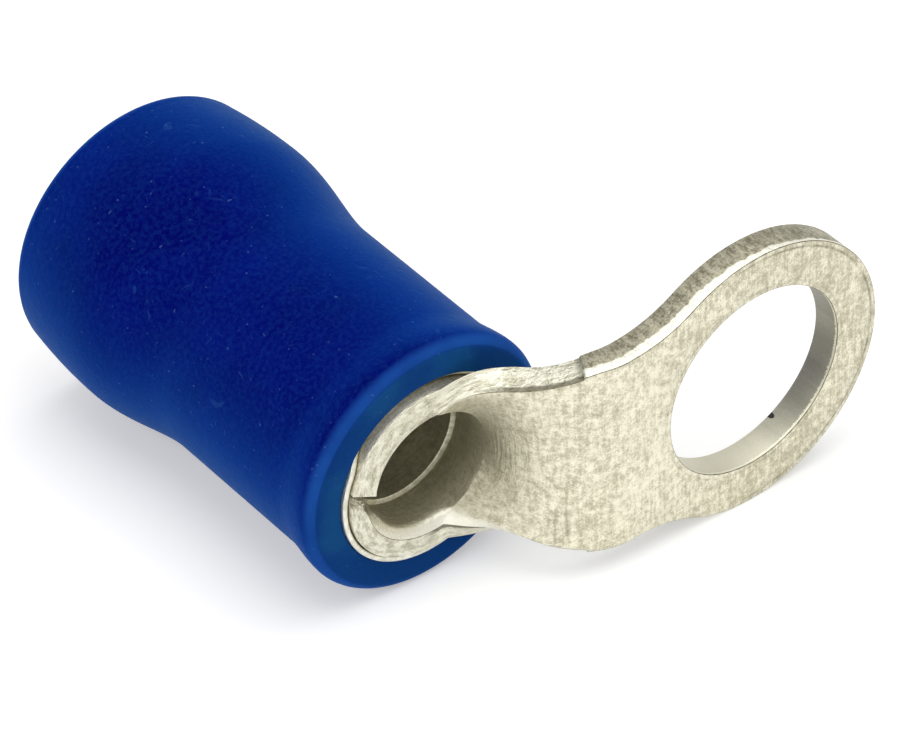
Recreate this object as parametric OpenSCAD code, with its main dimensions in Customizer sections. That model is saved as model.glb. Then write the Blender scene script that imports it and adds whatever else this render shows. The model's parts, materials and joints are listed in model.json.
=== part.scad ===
// Insulated ring terminal for stranded wire, with its tongue bent square to the barrel.
// One stamped and rolled sheet (barrel, throat, tongue and ring), a thin support sleeve
// crimped round the barrel, and a moulded insulating sleeve over both.
// The pieces are drawn with X along the barrel and out of its mouth, Y from the barrel
// to the ring and Z across the tongue, then laid on their side as they come to rest.

/* [Sheet and ring] */
// Thickness of the metal sheet
sheet_t = 0.65; // [0.5:0.05:0.8]
// Diameter of the stud hole
hole_d = 4.3; // [3.2:0.1:4.6]
// Outside diameter of the ring
ring_d = 6.3; // [5.9:0.1:7]
// Distance from the barrel's axis to the stud hole's centre
reach = 6.4; // [6:0.1:8]
// Width of the tongue beside the ring
tongue_w = 4.7; // [4.3:0.1:5]
// Width of the tongue at its neck, in the throat
neck_w = 4.15; // [3.8:0.05:4.25]
// Radius of the inward curve where the tongue meets the ring
ring_fillet = 3; // [2:0.1:4]
// Bend radius of the tongue, at the middle of the sheet
bend_r = 1.74; // [1.5:0.02:2]
// How fast the round throat opens out flat along the bend
opening_rate = 8.5; // [6:0.5:11]
// Radius of the inward curve between the barrel's front edge and the neck
shoulder_r = 0.4; // [0.2:0.05:0.6]
// Depth of the step that the cutting tool leaves in each edge of the tongue
tool_step = 0.05; // [0.03:0.01:0.08]

/* [Barrel] */
// Inside diameter of the wire barrel
barrel_id = 2.65; // [2.4:0.05:2.9]
// Length of the wire barrel
barrel_len = 5.0; // [4.4:0.1:5.4]
// How far the barrel stands out of the insulation
barrel_proud = 0.13; // [0.1:0.01:0.2]
// Width of the slit where the rolled sheet's edges meet
seam_gap = 0.05; // [0.03:0.01:0.1]
// Angle of that seam off the tongue's centre line
seam_turn = 13; // [0:1:20]
// Slant of the seam through the sheet
seam_slant = 15; // [0:1:20]
// Size of the corner sheared off the sheet beside the seam, at the barrel's mouth
seam_corner = 0.18; // [0.1:0.02:0.25]
// How far the mouth's inside is opened out beside the seam
scoop_size = 0.36; // [0.2:0.02:0.4]
// Depth of that opening, from the mouth
scoop_depth = 0.5; // [0.3:0.05:0.7]
// Number of gripping steps inside the barrel
grip_count = 3; // [1:1:4]
// Distance between gripping steps
grip_pitch = 1.05; // [0.9:0.05:1.2]
// Height of a gripping step
grip_height = 0.09; // [0.06:0.01:0.12]
// Length of the slope that runs down to a gripping step
grip_slope = 0.5; // [0.3:0.05:0.7]
// Chamfer at the barrel's rear end, where the strands go in
strand_chamfer = 0.2; // [0.1:0.02:0.3]

/* [Support sleeve] */
// Wall of the support sleeve
support_t = 0.12; // [0.1:0.01:0.16]
// Gap between the barrel and the support sleeve
barrel_fit = 0.02; // [0.01:0.01:0.04]
// How far the support sleeve stands out of the insulation
support_proud = 0.07; // [0.04:0.01:0.09]
// Length over which it flares from the barrel to its wide rear end
flare_len = 1.6; // [1.2:0.1:2]
// How far its rear edge lies inside the insulation's rear rim
entry_inset = 0.5; // [0.3:0.05:0.8]

/* [Insulating sleeve] */
// Length of the insulating sleeve
sleeve_len = 9.5; // [8.8:0.1:10]
// Gap between the support sleeve and the insulation
sleeve_fit = 0.01; // [0.01:0.01:0.03]
// The same gap round the support sleeve's wide rear end
entry_fit = 0.05; // [0.04:0.01:0.08]
// Wall of the insulation at its rear rim
rear_wall = 0.42; // [0.42:0.02:0.54]
// Outside diameter of the front end's rolled lip
lip_d = 5.78; // [5.7:0.02:5.9]
// Distance from the front face to the end of the lip's slope
lip_len = 1.2; // [0.8:0.05:1.6]
// Outside diameter of the front, crimping length
front_d = 5.56; // [5.4:0.02:5.66]
// Outside diameter of the rear bulge at its fullest
bulge_d = 6.34; // [6.2:0.02:6.6]
// Outside diameter just ahead of the rear rim
rim_d = 6.08; // [6:0.02:6.2]
// Distance from the front face to the end of the crimping length
neck_at = 4.8; // [4.4:0.1:5]
// Distance from the front face to the fullest part of the bulge
bulge_at = 7.4; // [7:0.1:7.5]
// Radius on the front face's outer edge
front_round = 0.3; // [0.2:0.02:0.4]
// Radius on the rear rim's outer edge
rear_round = 0.3; // [0.2:0.02:0.34]
// How far the rear mouth opens out at its edge
mouth_flare = 0.07; // [0.04:0.01:0.07]

/* [Hidden] */

cut = 1;
barrel_ir = barrel_id / 2;
barrel_or = barrel_ir + sheet_t;
mid_r = barrel_ir + sheet_t / 2;
ring_r = ring_d / 2;
hole_r = hole_d / 2;
tongue_x = barrel_proud + bend_r;
flat_y = mid_r + bend_r;
bend_len = bend_r * PI / 2;
fillet_y = reach - sqrt(pow(ring_r + ring_fillet, 2) - pow(tongue_w / 2 + ring_fillet, 2));
// Shares of the bend where the neck ends, over which it widens, and where the tool's step is
neck_share = 0.23;
widen_share = 0.58;
step_share = 0.66;
seam_deep = sheet_t + barrel_ir / 2;
scoop_share = 0.72;
scoop_y = scoop_share * barrel_ir;
scoop_r = barrel_ir - scoop_y + scoop_size;
// The throat's two ends are a hair smaller than the barrel's wall and the tongue, and reach into them
tenon_inset = 0.01;
tenon_len = 0.15;
tenon_share = 0.05;
steps = 40;
across = 30;

support_ir = barrel_or + barrel_fit;
support_or = support_ir + support_t;
rear_bore_r = rim_d / 2 - rear_wall;
entry_or = rear_bore_r - entry_fit;
entry_ir = entry_or - support_t;
bore_r = support_or + sleeve_fit;
flare_end = neck_at + flare_len;

// ---- the sheet's half width, and the throat's loft ----
function ease(a) = let (c = min(1, max(0, a))) c * c * (3 - 2 * c);
function corner_arc(r, d) = d < r ? r - sqrt(r * r - (r - d) * (r - d)) : 0;
function near_ring(y) = y > fillet_y
    ? ring_fillet - sqrt(ring_fillet * ring_fillet - pow(y - fillet_y, 2)) : 0;
function tenon(s) = tenon_inset * (1 - ease(min(s, 1 - s) / tenon_share));
function half_width(s) =
    neck_w / 2 + (tongue_w - neck_w) / 2 * ease((s - neck_share) / widen_share)
    + corner_arc(shoulder_r, s * bend_len) + near_ring(flat_y - (1 - s) * bend_len)
    - (s < step_share ? tool_step : 0) - tenon(s);
function curl(s) = max((1 - s) / (1 + opening_rate * s) / mid_r, 1e-5);

// A point of the throat: s runs along the bend, u across the sheet, side through its thickness
function throat_point(s, u, side) =
    let (k = curl(s), a = half_width(s) * k * u, deg = a * 180 / PI,
         off = side * (sheet_t / 2 - tenon(s)),
         rise = (1 - cos(deg)) / k - off * cos(deg),
         swing = bend_r + rise)
    [barrel_proud + swing * sin(90 * s), flat_y - swing * cos(90 * s),
     sin(deg) / k + off * sin(deg)];

// One cross-section of the throat: its inner face from edge to edge, then its outer face back
function throat_ring(s) = concat(
    [for (i = [0:across]) throat_point(s, 2 * i / across - 1, -1)],
    [for (i = [across:-1:0]) throat_point(s, 2 * i / across - 1, 1)]);
// Stations along the bend, with a close pair at the tool's step
step_len = 0.003;
step_room = 0.02;
stations = concat([for (i = [0:steps]) if (i / steps < step_share - step_room) i / steps],
                  [step_share - step_len, step_share + step_len],
                  [for (i = [0:steps]) if (i / steps > step_share + step_room) i / steps]);

// ---- pieces, before they are laid down ----
// A ring profile turned about the X axis: 2-D points are [radius, -x]
module turned() { rotate([0, -90, 0]) rotate_extrude($fn = 96) children(); }
module rod(r, from, to) {
    translate([from, 0, 0]) rotate([0, 90, 0]) cylinder(r = r, h = to - from, $fn = 96);
}

// The frame of the slanted seam, with its origin on the barrel's outside
module at_seam() {
    rotate([180 - seam_turn, 0, 0]) translate([0, barrel_or, 0]) rotate([-seam_slant, 0, 0]) children();
}

module barrel() {
    front = barrel_proud;
    rear = barrel_proud - barrel_len;
    difference() {
        rod(barrel_or, rear, front);
        rod(barrel_ir, rear - cut, front + cut);
        // entry chamfer for the strands
        translate([rear, 0, 0]) rotate([0, 90, 0])
            cylinder(r1 = barrel_ir + strand_chamfer, r2 = barrel_ir - strand_chamfer,
                     h = 2 * strand_chamfer, $fn = 96);
        // gripping steps, each at the end of a slope
        for (i = [1:grip_count])
            translate([front - i * grip_pitch, 0, 0]) rotate([0, 90, 0])
                cylinder(r1 = barrel_ir + grip_height, r2 = barrel_ir, h = grip_slope, $fn = 96);
        // seam, with the sheared corner of one of the sheet's edges at its mouth
        at_seam() {
            translate([rear - cut, -seam_deep, -seam_gap / 2])
                cube([barrel_len + 2 * cut, seam_deep + cut, seam_gap]);
            translate([front, cut, 0]) rotate([90, 0, 0]) linear_extrude(seam_deep + cut)
                polygon([[-seam_corner, 0], [cut, 0], [cut, cut + seam_corner]]);
        }
        // the opened-out inside of that edge
        intersection() {
            rotate([180 - seam_turn, 0, 0]) translate([front - scoop_depth, scoop_y, 0]) rotate([0, 90, 0])
                cylinder(r1 = scoop_r - scoop_size, r2 = scoop_r + scoop_size, h = 2 * scoop_depth, $fn = 96);
            at_seam() translate([front - scoop_depth, -barrel_or, 0])
                cube([2 * scoop_depth, barrel_or, barrel_or]);
        }
    }
}

module throat() {
    n = 2 * (across + 1);
    last = (len(stations) + 1) * n;
    polyhedron(
        points = concat([for (p = throat_ring(0)) p - [tenon_len, 0, 0]],
                        [for (s = stations) each throat_ring(s)],
                        [for (p = throat_ring(1)) p + [0, tenon_len, 0]]),
        faces = [
            for (k = [0:n:last - n], j = [0:n - 1]) let (a = k + j, b = k + (j + 1) % n)
                each [[a, b, b + n], [a, b + n, a + n]],
            for (j = [0:across - 1])
                each [[j + 1, j, n - 1 - j], [j + 1, n - 1 - j, n - 2 - j]],
            for (j = [0:across - 1])
                each [[last + j, last + j + 1, last + n - 1 - j],
                      [last + j + 1, last + n - 2 - j, last + n - 1 - j]]],
        convexity = 6);
}

// Outline of the flat tongue and ring, with its origin at the stud hole
module ring_outline() {
    reach_in = ring_r + ring_fillet;
    blend = [-(reach - fillet_y), tongue_w / 2 + ring_fillet] * ring_r / reach_in;
    start = [flat_y - reach, tongue_w / 2 + near_ring(flat_y)];
    side = fillet_y > flat_y + tenon_inset
        ? [start, [fillet_y - reach, tongue_w / 2], blend] : [start, blend];
    back = len(side) - 1;
    circle(r = ring_r, $fn = 128);
    difference() {
        polygon(concat(side, [for (i = [back:-1:0]) [side[i][0], -side[i][1]]]));
        for (z = [-1, 1])
            translate([fillet_y - reach, z * (tongue_w / 2 + ring_fillet)])
                circle(r = ring_fillet, $fn = 160);
    }
}

module tongue() {
    translate([tongue_x - sheet_t / 2, reach, 0]) rotate([90, 0, 90])
        difference() {
            linear_extrude(sheet_t) ring_outline();
            translate([0, 0, -cut]) cylinder(r = hole_r, h = sheet_t + 2 * cut, $fn = 96);
        }
}

// ---- the insulating sleeve's outer profile, by distance behind its front face ----
lip_r = lip_d / 2;
front_r = front_d / 2;
bulge_r = bulge_d / 2;
rim_r = rim_d / 2;
rear_edge = sleeve_len - rear_round;
function outer_r(d) =
    d < lip_len ? lip_r - (lip_r - front_r) * ease((d - front_round) / (lip_len - front_round))
    : d < bulge_at ? front_r + (bulge_r - front_r) * ease((d - neck_at) / (bulge_at - neck_at))
    : bulge_r - (bulge_r - rim_r) * pow((d - bulge_at) / (rear_edge - bulge_at), 2);
outer_profile = concat(
    [for (a = [90:-15:15]) [lip_r - front_round * (1 - cos(a)), front_round * (1 - sin(a))]],
    [for (i = [0:8]) let (d = front_round + i * (lip_len - front_round) / 8) [outer_r(d), d]],
    [for (i = [0:20]) let (d = neck_at + i * (bulge_at - neck_at) / 20) [outer_r(d), d]],
    [for (i = [1:8]) let (d = bulge_at + i * (rear_edge - bulge_at) / 8) [outer_r(d), d]],
    [for (a = [15:15:90]) [rim_r - rear_round * (1 - cos(a)), rear_edge + rear_round * sin(a)]]);

// ---- how the terminal lies: on the bulge, the lip and the ring's edge ----
rest_slope = max([for (p = outer_profile) if (p[1] > neck_at) (p[0] - lip_r) / (p[1] - front_round)]);
pitch = atan(rest_slope);
ring_front = tongue_x + sheet_t / 2;
roll = asin((ring_r - lip_r + (ring_front + front_round) * rest_slope) / reach);
lift = lip_r * cos(pitch) - front_round * sin(pitch);
mid_x = (reach * cos(roll) + ring_r - bulge_r) / 2;
nose = ring_front * cos(pitch) + (reach * sin(roll) + ring_r) * sin(pitch);
tail = rear_edge * cos(pitch) + (rim_r - rear_round) * sin(pitch) + rear_round;
module lie_down() {
    translate([-mid_x, (nose - tail) / 2, lift]) rotate([roll, pitch, -90]) children();
}

// ---- the three pieces ----
module terminal() {
    color([0.84, 0.82, 0.75]) lie_down() union() {
        barrel();
        throat();
        tongue();
    }
}

module support_sleeve() {
    rear = sleeve_len - entry_inset;
    color([0.88, 0.86, 0.78]) lie_down() turned() polygon([
        [support_ir, -support_proud], [support_or, -support_proud],
        [support_or, neck_at], [entry_or, flare_end], [entry_or, rear],
        [entry_ir, rear], [entry_ir, flare_end], [support_ir, neck_at]]);
}

module insulation_sleeve() {
    color([0.03, 0.13, 0.55]) lie_down() turned() polygon(concat(outer_profile, [
        [rear_bore_r + mouth_flare, sleeve_len], [rear_bore_r, sleeve_len - 2 * mouth_flare],
        [rear_bore_r, flare_end], [bore_r, neck_at], [bore_r, 0]]));
}

terminal();
support_sleeve();
insulation_sleeve();
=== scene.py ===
# %% [markdown]
# # An insulated ring terminal, bent square
# A ring terminal ends a stranded wire so that it can go under a screw. This one has three
# pieces: a tin-plated copper sheet, stamped and rolled into a barrel, a throat, a tongue
# and a ring; a thin support sleeve pressed over the barrel; and a soft blue insulating
# sleeve over both. The drawing's solids come in as a fixed frame, and every piece that is
# made here takes its place from them.

# %% Load the frame
import json
import math
import bmesh
import bpy
from mathutils import Matrix, Vector


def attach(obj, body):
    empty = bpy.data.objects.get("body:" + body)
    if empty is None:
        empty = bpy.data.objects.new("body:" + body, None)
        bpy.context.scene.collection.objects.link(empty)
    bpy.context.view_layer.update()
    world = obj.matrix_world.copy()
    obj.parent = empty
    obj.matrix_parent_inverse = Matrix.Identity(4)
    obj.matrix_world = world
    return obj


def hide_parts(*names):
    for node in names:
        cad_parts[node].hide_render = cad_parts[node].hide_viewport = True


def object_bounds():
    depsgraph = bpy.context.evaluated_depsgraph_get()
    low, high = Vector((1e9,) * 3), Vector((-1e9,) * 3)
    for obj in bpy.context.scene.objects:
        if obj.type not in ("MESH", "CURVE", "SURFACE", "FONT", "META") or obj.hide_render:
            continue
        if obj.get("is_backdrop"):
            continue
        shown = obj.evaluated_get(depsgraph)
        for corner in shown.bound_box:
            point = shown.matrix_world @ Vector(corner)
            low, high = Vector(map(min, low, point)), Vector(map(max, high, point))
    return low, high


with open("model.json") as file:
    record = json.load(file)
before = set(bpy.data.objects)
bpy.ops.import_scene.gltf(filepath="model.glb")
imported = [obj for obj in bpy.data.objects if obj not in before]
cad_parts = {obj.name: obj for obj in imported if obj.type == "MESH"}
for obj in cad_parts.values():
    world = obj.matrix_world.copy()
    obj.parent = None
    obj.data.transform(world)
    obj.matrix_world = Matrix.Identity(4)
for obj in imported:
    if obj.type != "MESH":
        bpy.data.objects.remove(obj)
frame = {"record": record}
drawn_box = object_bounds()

MM = 0.001


def box_in_mm(points):
    """Lowest and highest corners of some points in metres, rounded for reading."""
    points = list(points)
    return [[round(pick(p[k] for p in points) / MM, 3) for k in range(3)] for pick in (min, max)]


print("drawn box, mm:", box_in_mm(drawn_box))

# %% [markdown]
# ## Finding the barrel
# The terminal lies on its side and leans by a few degrees, so its own axes aren't the
# world's. The record states where the wire barrel and the stud hole are, which is enough to
# rebuild the axes the part was drawn in: X along the barrel and out of its mouth, Y from the
# barrel towards the ring, and Z across the tongue. Pieces are then modelled in those axes
# and in millimetres, where sizes are easy to read, and one matrix lays them down at the end.

# %% Axes of the part
BARREL_LEN, BARREL_PROUD = 5.0, 0.13
mounts = {m["name"]: m for m in frame["record"]["mounts"]}
barrel_centre = Vector(mounts["wire_barrel"]["pos_m"]) / MM
stud_centre = Vector(mounts["stud_hole"]["pos_m"]) / MM
out_of_mouth = -Vector(mounts["wire_barrel"]["axis"]).normalized()
front_centre = barrel_centre + out_of_mouth * (BARREL_LEN / 2 - BARREL_PROUD)
to_stud = stud_centre - front_centre
sideways = to_stud - out_of_mouth * to_stud.dot(out_of_mouth)
to_ring = sideways.normalized()
across_sheet = out_of_mouth.cross(to_ring)
lay_down = Matrix.Scale(MM, 4) @ Matrix.Translation(front_centre) @ Matrix(
    (out_of_mouth, to_ring, across_sheet)).transposed().to_4x4()
REACH = sideways.length
print("reach from barrel axis to stud hole, mm:", round(REACH, 3))

# %% [markdown]
# ## Turning a mesh into a piece
# Each piece is worked on as a bmesh, Blender's editable mesh in code. When its shape is
# done, the mesh is laid down in the world, its faces are shaded smooth except across corners
# sharper than a set angle, and it rides on the part's one body. The object itself stays at
# the origin, unturned and unscaled, so a pattern in its material lies still on it.

# %% Finish a piece
SHARP_OVER = math.radians(50)


def make_piece(bm, name, materials, stands_for):
    bm.transform(lay_down)
    mesh = bpy.data.meshes.new(name)
    bm.to_mesh(mesh)
    bm.free()
    mesh.shade_smooth()
    mesh.set_sharp_from_angle(angle=SHARP_OVER)
    for material in materials:
        mesh.materials.append(material)
    piece = bpy.data.objects.new(name, mesh)
    bpy.context.scene.collection.objects.link(piece)
    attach(piece, "root")
    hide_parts(stands_for)
    print(name, "faces:", len(mesh.polygons), "box, mm:", box_in_mm(v.co for v in mesh.vertices))


# %% [markdown]
# ## Writing materials as sums
# A material's pattern is maths on sockets. Wiring dozens of Math nodes by hand hides what
# they do, so one small class wraps a socket: adding, multiplying or subtracting it makes
# the Math node. The method stretch turns a band of values into a smooth mask from 0 to 1.

# %% Socket maths
class Socket:
    def __init__(self, finish, output):
        self.finish, self.output = finish, output

    def maths(self, operation, first, second=0.0):
        return self.finish.node("ShaderNodeMath", {"operation": operation}, {0: first, 1: second})

    def __add__(self, other): return self.maths("ADD", self, other)
    def __radd__(self, other): return self.maths("ADD", other, self)
    def __sub__(self, other): return self.maths("SUBTRACT", self, other)
    def __rsub__(self, other): return self.maths("SUBTRACT", other, self)
    def __mul__(self, other): return self.maths("MULTIPLY", self, other)
    def __rmul__(self, other): return self.maths("MULTIPLY", other, self)
    def __truediv__(self, other): return self.maths("DIVIDE", self, other)
    def __rtruediv__(self, other): return self.maths("DIVIDE", other, self)
    def __neg__(self): return self.maths("SUBTRACT", 0.0, self)

    def root(self): return self.maths("SQRT", self)
    def above(self, other): return self.maths("MAXIMUM", self, other)
    def below(self, other): return self.maths("MINIMUM", self, other)
    def size(self): return self.maths("ABSOLUTE", self)

    def stretch(self, low, high):
        return self.finish.node("ShaderNodeMapRange", {"interpolation_type": "SMOOTHSTEP"}, {
            "Value": self, "From Min": low, "From Max": high})

    def scaled(self, factors):
        return self.finish.node("ShaderNodeVectorMath", {"operation": "MULTIPLY"},
                                {0: self, 1: factors})


def between(value, low, high, soft):
    """1 where the value lies from low to high, with soft ends."""
    return value.stretch(low - soft, low + soft) * (1 - value.stretch(high - soft, high + soft))


# %% [markdown]
# ## One way to make a node
# A second class holds the node tree of a material, or of the world. Every node is made in
# one way: its type, its settings, then the values or links of its sockets. The shorter
# methods only name the few nodes that come back again and again.

# %% Nodes of a finish
class Finish:
    def __init__(self, owner):
        owner.use_nodes = True
        self.owner, self.tree = owner, owner.node_tree
        self.tree.nodes.clear()

    def node(self, kind, settings=None, sockets=None, out=0):
        made = self.tree.nodes.new(kind)
        for key, value in (settings or {}).items():
            setattr(made, key, value)
        for key, value in (sockets or {}).items():
            if isinstance(value, Socket):
                self.tree.links.new(value.output, made.inputs[key])
            else:
                made.inputs[key].default_value = value
        return Socket(self, made.outputs[out]) if len(made.outputs) else None

    def layered(self, colour, *layers):
        """Lays each (mask, colour) over the colours before it."""
        for mask, over in layers:
            colour = self.node("ShaderNodeMix", {"data_type": "RGBA"},
                               {0: mask, 6: colour, 7: over}, out=2)
        return colour

    def place(self):
        return self.node("ShaderNodeTexCoord", out="Object")

    def attribute(self, name, out):
        return self.node("ShaderNodeAttribute", {"attribute_name": name}, out=out)

    def noise(self, vector, scale, detail=2.0, roughness=0.5):
        return self.node("ShaderNodeTexNoise", {}, {
            "Vector": vector, "Scale": scale, "Detail": detail, "Roughness": roughness})

    def parts(self, vector):
        split = self.node("ShaderNodeSeparateXYZ", {}, {0: vector}).output.node
        return [Socket(self, split.outputs[i]) for i in range(3)]

    def joined(self, x, y, z):
        return self.node("ShaderNodeCombineXYZ", {}, {0: x, 1: y, 2: z})

    def wandering(self, vector, scale, by):
        """The vector, pushed about by coloured noise so that straight marks bend."""
        drift = self.node("ShaderNodeTexNoise", {}, {"Vector": vector, "Scale": scale}, out="Color")
        return self.node("ShaderNodeVectorMath", {"operation": "ADD"},
                         {0: vector, 1: drift.scaled((by, by, by))})

    def edge_on(self):
        return self.node("ShaderNodeLayerWeight", {}, {"Blend": 0.5}, out="Facing")

    def bump(self, height, distance):
        return self.node("ShaderNodeBump", {}, {"Height": height, "Distance": distance})

    def show(self, shader, output="ShaderNodeOutputMaterial"):
        self.node(output, {}, {"Surface": shader})
        print(self.owner.name, "nodes:", len(self.tree.nodes))
        return self.owner


def new_finish(name):
    return Finish(bpy.data.materials.new(name))


# %% [markdown]
# ## Soft vinyl
# The insulating sleeve is moulded in soft vinyl: a deep blue, satin surface with faint
# cloudiness and fine grain. Where it is seen edge-on, Layer Weight's Facing lays lighter
# blues over the deep one as a painted sheen, and a thin blue sheen in the shader helps it.
# The rest is noise at several sizes, read in Object coordinates. Those are metres here, so a
# scale of 1000 makes marks about a millimetre apart.
#
# The distance behind the sleeve's front face is a dot product with the barrel's axis. It
# marks the pale cut end, and the shoulder behind it, which carries a painted highlight.

# %% Blues and marks of the vinyl
DEEP_BLUE, CLOUD_BLUE = (0.0005, 0.0012, 0.108, 1), (0.0008, 0.004, 0.15, 1)
# The edge-on and haze blues are painted sheen, and the shoulder blue a painted highlight.
EDGE_SHEEN_BLUE, HAZE_SHEEN_BLUE = (0.001, 0.052, 0.32, 1), (0.022, 0.085, 0.2, 1)
SHOULDER_HIGHLIGHT_BLUE, CUT_BLUE = (0.015, 0.1, 0.42, 1), (0.008, 0.075, 0.24, 1)
GRAIN_BLUE, LINT_BLUE, SPECK_BLUE = (0.012, 0.07, 0.33, 1), (0.03, 0.11, 0.36, 1), (0.12, 0.22, 0.45, 1)


def ahead_of_front(f, place):
    """Millimetres in front of the insulation's front face, less than 0 along the sleeve."""
    x, y, z = f.parts(place)
    return ((x / MM - front_centre.x) * out_of_mouth.x + (y / MM - front_centre.y) * out_of_mouth.y
            + (z / MM - front_centre.z) * out_of_mouth.z)


def lint(f, place):
    """Thin bent fibres that cling to the vinyl; the caller gathers them where handling has worn it."""
    bent = f.wandering(place, 900, by=1.2 * MM)
    fibres = f.noise(bent.scaled((1.0, 0.2, 0.5)), 9000, detail=1.0).stretch(0.69, 0.76)
    hairs = f.noise(bent.scaled((0.35, 1.0, 0.25)), 9500, detail=1.0).stretch(0.7, 0.77)
    return fibres + hairs


print("middle of the barrel's mouth, mm:", [round(c, 2) for c in front_centre])

# %% [markdown]
# ### Laying the blues over one another
# Each line of layers is one thing that is seen on the sleeve, from the broadest to the
# smallest: clouds, the painted edge-on sheen, a painted grey haze at the turn, the painted
# highlight on the shoulder, the cut end, grain, lint and specks. Reading them in order is
# reading the colour from the bottom up.

# %% Blue vinyl
def blue_vinyl():
    f = new_finish("blue_vinyl")
    place = f.place()
    ahead = ahead_of_front(f, place)
    cut_end = ahead.stretch(-0.04, -0.01)
    # painted highlight on the rounded shoulder just behind the front face
    shoulder = ahead.stretch(-0.3, -0.08) * (1 - cut_end)
    clouds = f.noise(place, 330, detail=4.0, roughness=0.65).stretch(0.35, 0.65)
    peel = f.noise(place, 6500, detail=3.0, roughness=0.6)
    grain = f.noise(place, 11000, detail=3.0, roughness=0.7).stretch(0.36, 0.7)
    specks = f.noise(place, 13000, detail=0.0).stretch(0.8, 0.86)
    worn = f.noise(place, 600).stretch(0.45, 0.65)
    clinging = lint(f, place) * worn
    # facing drives the painted sheen where the sleeve is seen edge-on
    facing = f.edge_on()
    # painted sheen: a pale grey-blue haze at grazing angles, broken up by grain and clouds
    haze_sheen = facing.stretch(0.5, 0.9) * (0.35 + grain * 0.65) * (0.4 + clouds * 0.6)
    colour = f.layered(
        DEEP_BLUE,
        (clouds, CLOUD_BLUE),
        (facing.stretch(0.16, 0.82) * 0.85, EDGE_SHEEN_BLUE),
        (haze_sheen * 0.55, HAZE_SHEEN_BLUE),
        (shoulder * (0.5 + clouds * 0.3), SHOULDER_HIGHLIGHT_BLUE),
        (cut_end * (0.55 + worn * 0.45), CUT_BLUE),
        (grain * 0.16, GRAIN_BLUE),
        (clinging * 0.22, LINT_BLUE),
        (specks * 0.25, SPECK_BLUE))
    gloss = 0.38 + peel * 0.08 + grain * 0.08
    normal = f.bump(peel + grain * 0.5 + clouds * 2.0 + clinging, 0.006 * MM)
    return f.show(f.node("ShaderNodeBsdfPrincipled", {}, {
        "Base Color": colour, "Roughness": gloss, "Normal": normal, "IOR": 1.45,
        "Specular IOR Level": 0.01, "Specular Tint": (0.3, 0.6, 1.0, 1),
        "Sheen Weight": 0.16, "Sheen Roughness": 0.4, "Sheen Tint": (0.02, 0.3, 0.75, 1)}))


vinyl = blue_vinyl()

# %% [markdown]
# ## The sheet's sizes
# The stamping and its finish are both measured on the flat sheet, so its sizes come first.
# Stations along the throat are given as shares of the bend's length: where the neck begins
# to widen, over how long, and where the cutting tool left a small step in the edge. The
# stud hole's place along the sheet follows from the reach, so it is worked out.

# %% Sizes of the sheet
SHEET_T, BARREL_IR = 0.65, 1.325
HOLE_R, RING_R = 2.15, 3.15
TONGUE_W, NECK_W, RING_FILLET = 4.7, 4.15, 3.0
BEND_R, OPENING_RATE = 1.74, 8.5
SHOULDER_R, TOOL_STEP = 0.4, 0.05
NECK_SHARE, WIDEN_SHARE, STEP_SHARE = 0.23, 0.58, 0.66
MID_R = BARREL_IR + SHEET_T / 2
BARREL_OR = BARREL_IR + SHEET_T
FLAT_Y = MID_R + BEND_R
TONGUE_X = BARREL_PROUD + BEND_R
BEND_LEN = BEND_R * math.pi / 2
STEP_ALONG = STEP_SHARE * BEND_LEN
HOLE_ALONG = REACH - FLAT_Y + BEND_LEN
print("along the sheet, mm: step", round(STEP_ALONG, 3), "stud hole", round(HOLE_ALONG, 3))

# %% [markdown]
# ## Tin plate
# Matt tin on copper looks like warm, pale grey metal whose grain is mottled and whose press
# marks run across the strip. The grain has to follow the sheet through its bend, so each
# corner of the sheet carries an attribute named sheet: millimetres across, millimetres
# along from the barrel's front edge, and depth through its thickness. A second attribute,
# to_edge, is the distance to the nearest cut edge. Noise that reads the sheet's own place
# bends with the metal, which a pattern in Object coordinates wouldn't do.

# %% Mottled tin
WARM_TIN, DULL_TIN = (0.88, 0.845, 0.68, 1), (0.5, 0.465, 0.34, 1)


def sheet_place(f):
    return f.attribute("sheet", "Vector")


def metal(f, colour, roughness, **others):
    return f.show(f.node("ShaderNodeBsdfPrincipled", {}, {
        "Base Color": colour, "Metallic": 1.0, "Roughness": roughness, **others}))


def mottled(f, sheet, along):
    """The tin's shade, from dull to warm, and the height of its grain."""
    mottle = f.noise(sheet, 6.6, detail=4.0, roughness=0.72)
    press_marks = f.noise(sheet.scaled((1.6, 17.0, 1.0)), 1.0, detail=3.0, roughness=0.6)
    grain = f.noise(sheet, 30.0, roughness=0.6)
    broad = f.noise(sheet, 1.9, detail=3.0, roughness=0.6)
    # broad tone: noise, lighter over the neck and darker towards the ring
    broad_tone = broad * 0.14 + between(along, 2.6, 3.6, 0.7) * 0.025 - along.stretch(3.6, 6.0) * 0.02
    shade = (mottle * 0.4 + press_marks * 0.2 + grain * 0.26 + broad_tone).stretch(0.39, 0.6)
    return shade, mottle * 0.4 + press_marks * 0.3 + grain * 0.35


# %% [markdown]
# ### Lines that the press leaves
# Three kinds of line tell that this sheet was formed by tools. The punch leaves a faint
# dark line just inside the ring's outer edge, and another round the hole. The forming die
# draws fine curved lines over the root of the throat. Two short witness lines cross the
# throat where the tool's parts met. Each is a mask made from the sheet's place.

# %% Lines on the plated faces
LINE_HALF = 0.02
RIM_LINE_IN, HOLE_LINE_OUT = 0.12, 0.11


def line_at(value, at, soft):
    return between(value, at - LINE_HALF, at + LINE_HALF, soft)


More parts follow.
